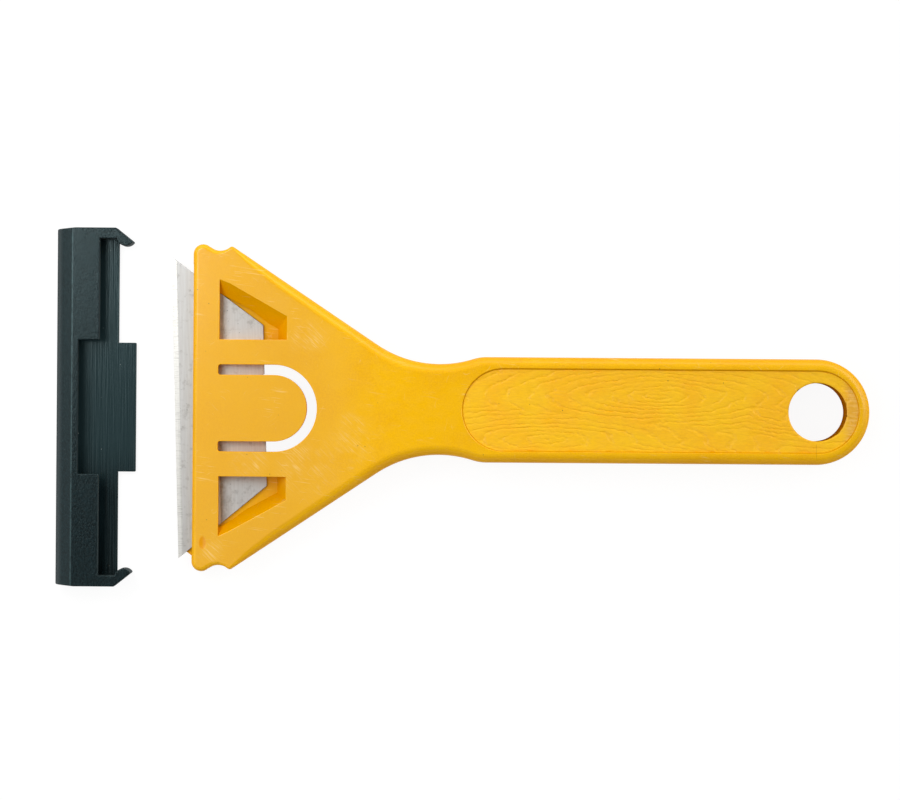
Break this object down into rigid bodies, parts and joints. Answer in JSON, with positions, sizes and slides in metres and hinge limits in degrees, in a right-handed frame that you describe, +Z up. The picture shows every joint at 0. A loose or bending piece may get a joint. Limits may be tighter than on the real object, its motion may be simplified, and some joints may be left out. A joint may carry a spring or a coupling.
{
  "type": "razor blade scraper",
  "caption": "Flat scraper: a triangular head clamps a trapezoid blade under a spring tongue, a grip ends in a hanging hole, and a cap snaps on over the blade.",
  "frame": {"origin": "centre of the hanging hole, halfway through the grip", "axes": "+X from the blade to the hanging hole's end of the grip, +Y across the head, +Z up out of the upper face, along the hanging hole"},
  "size_m": [0.1664, 0.0734, 0.009],
  "materials": {
    "handle_plastic": "satin moulded, amber yellow",
    "blade_steel": "ground and brushed",
    "cap_plastic": "spark-eroded mould texture, dark slate"
  },
  "bodies": {
    "handle": {"handle": "handle_plastic"},
    "tongue": {"tongue": "handle_plastic"},
    "blade": {"blade": "blade_steel"},
    "cap": {"cap": "cap_plastic"}
  },
  "joints": [
    {"name": "tongue_flex", "type": "hinge", "parent": "handle", "child": "tongue", "pos_m": [-0.1224, 0, 0.00158], "axis": [0, -1, 0], "range_deg": [0, 4], "stiffness_Nm_per_rad": 0.02},
    {"name": "blade_slide", "type": "slide", "parent": "handle", "child": "blade", "axis": [-1, 0, 0], "range_m": [0, 0.0165]},
    {"name": "cap_slide", "type": "slide", "parent": "blade", "child": "cap", "axis": [1, 0, 0], "range_m": [0, 0.0189]}
  ]
}
